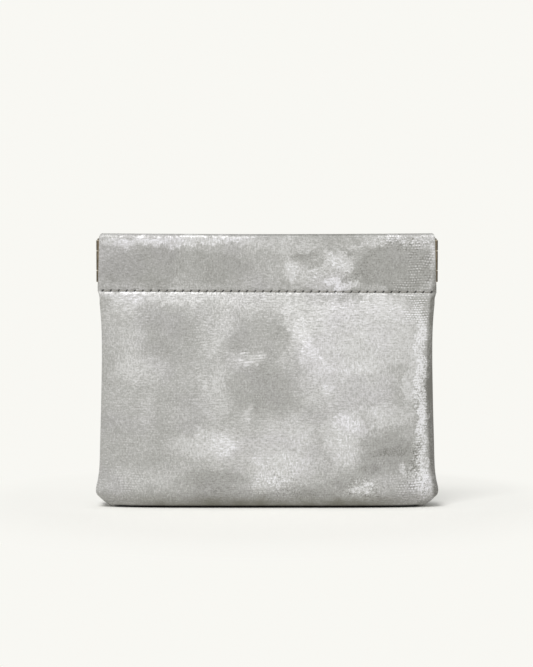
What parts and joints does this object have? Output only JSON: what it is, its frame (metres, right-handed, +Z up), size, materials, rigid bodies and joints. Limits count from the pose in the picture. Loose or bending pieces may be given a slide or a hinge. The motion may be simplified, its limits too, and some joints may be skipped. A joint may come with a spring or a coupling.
{
  "type": "card pouch",
  "caption": "Flat leather card pouch that stands on its folded base and opens at the top when the two ends of its hinged spring frame are pressed together.",
  "frame": {"origin": "middle of the base, on the surface that the pouch stands on", "axes": "+X along the mouth to its right end as seen from the front, +Y towards the back panel, +Z up to the mouth"},
  "size_m": [0.1154, 0.018, 0.092],
  "materials": {
    "leather": "worn silver foil on fine-grained leather",
    "leather_edge": "bare suede side and cut edges of the same leather",
    "spring": "antique brass plating on spring steel, darkened",
    "pin": "antique brass plating, darkened",
    "thread": "grey polyester thread"
  },
  "bodies": {
    "base": {"bottom_fold": "leather"},
    "front_centre": {"front_panel_centre": "leather", "front_spring_centre": "spring", "front_casing_thread_centre": "thread"},
    "front_left": {"front_panel_left": "leather", "front_spring_left": "spring", "front_casing_thread_left": "thread", "left_hinge_pin": "pin"},
    "front_right": {"front_panel_right": "leather", "front_spring_right": "spring", "front_casing_thread_right": "thread", "right_hinge_pin": "pin"},
    "back_centre": {"back_panel_centre": "leather", "back_spring_centre": "spring", "back_casing_thread_centre": "thread"},
    "back_left": {"back_panel_left": "leather", "back_spring_left": "spring", "back_casing_thread_left": "thread", "left_seam_allowance_front": "leather_edge", "left_seam_allowance_back": "leather_edge", "left_seam_thread": "thread"},
    "back_right": {"back_panel_right": "leather", "back_spring_right": "spring", "back_casing_thread_right": "thread", "right_seam_allowance_front": "leather_edge", "right_seam_allowance_back": "leather_edge", "right_seam_thread": "thread"}
  },
  "joints": [
    {"name": "mouth_opening", "type": "hinge", "parent": "base", "child": "front_centre", "pos_m": [0, 0, 0.0006], "axis": [1, 0, 0], "range_deg": [0, 14], "stiffness_Nm_per_rad": 0.34},
    {"name": "back_tilt", "type": "hinge", "parent": "base", "child": "back_centre", "pos_m": [0, 0, 0.0006], "axis": [-1, 0, 0], "range_deg": [0, 14]},
    {"name": "front_left_crease", "type": "hinge", "parent": "front_centre", "child": "front_left", "pos_m": [-0.05575, 0, 0.0006], "axis": [-0.4746, 0, -0.8802], "range_deg": [0, 30.5]},
    {"name": "front_right_crease", "type": "hinge", "parent": "front_centre", "child": "front_right", "pos_m": [0.05575, 0, 0.0006], "axis": [-0.4746, 0, 0.8802], "range_deg": [0, 30.5]},
    {"name": "back_left_crease", "type": "hinge", "parent": "back_centre", "child": "back_left", "pos_m": [-0.05575, 0, 0.0006], "axis": [0.4746, 0, 0.8802], "range_deg": [0, 30.5]},
    {"name": "back_right_crease", "type": "hinge", "parent": "back_centre", "child": "back_right", "pos_m": [0.05575, 0, 0.0006], "axis": [0.4746, 0, -0.8802], "range_deg": [0, 30.5]}
  ],
  "couplings": [
    {"joint": "back_tilt", "follows": "mouth_opening", "ratio": 1},
    {"joint": "front_left_crease", "follows": "mouth_opening", "ratio": 2.164},
    {"joint": "front_right_crease", "follows": "mouth_opening", "ratio": 2.164},
    {"joint": "back_left_crease", "follows": "mouth_opening", "ratio": 2.164},
    {"joint": "back_right_crease", "follows": "mouth_opening", "ratio": 2.164}
  ]
}
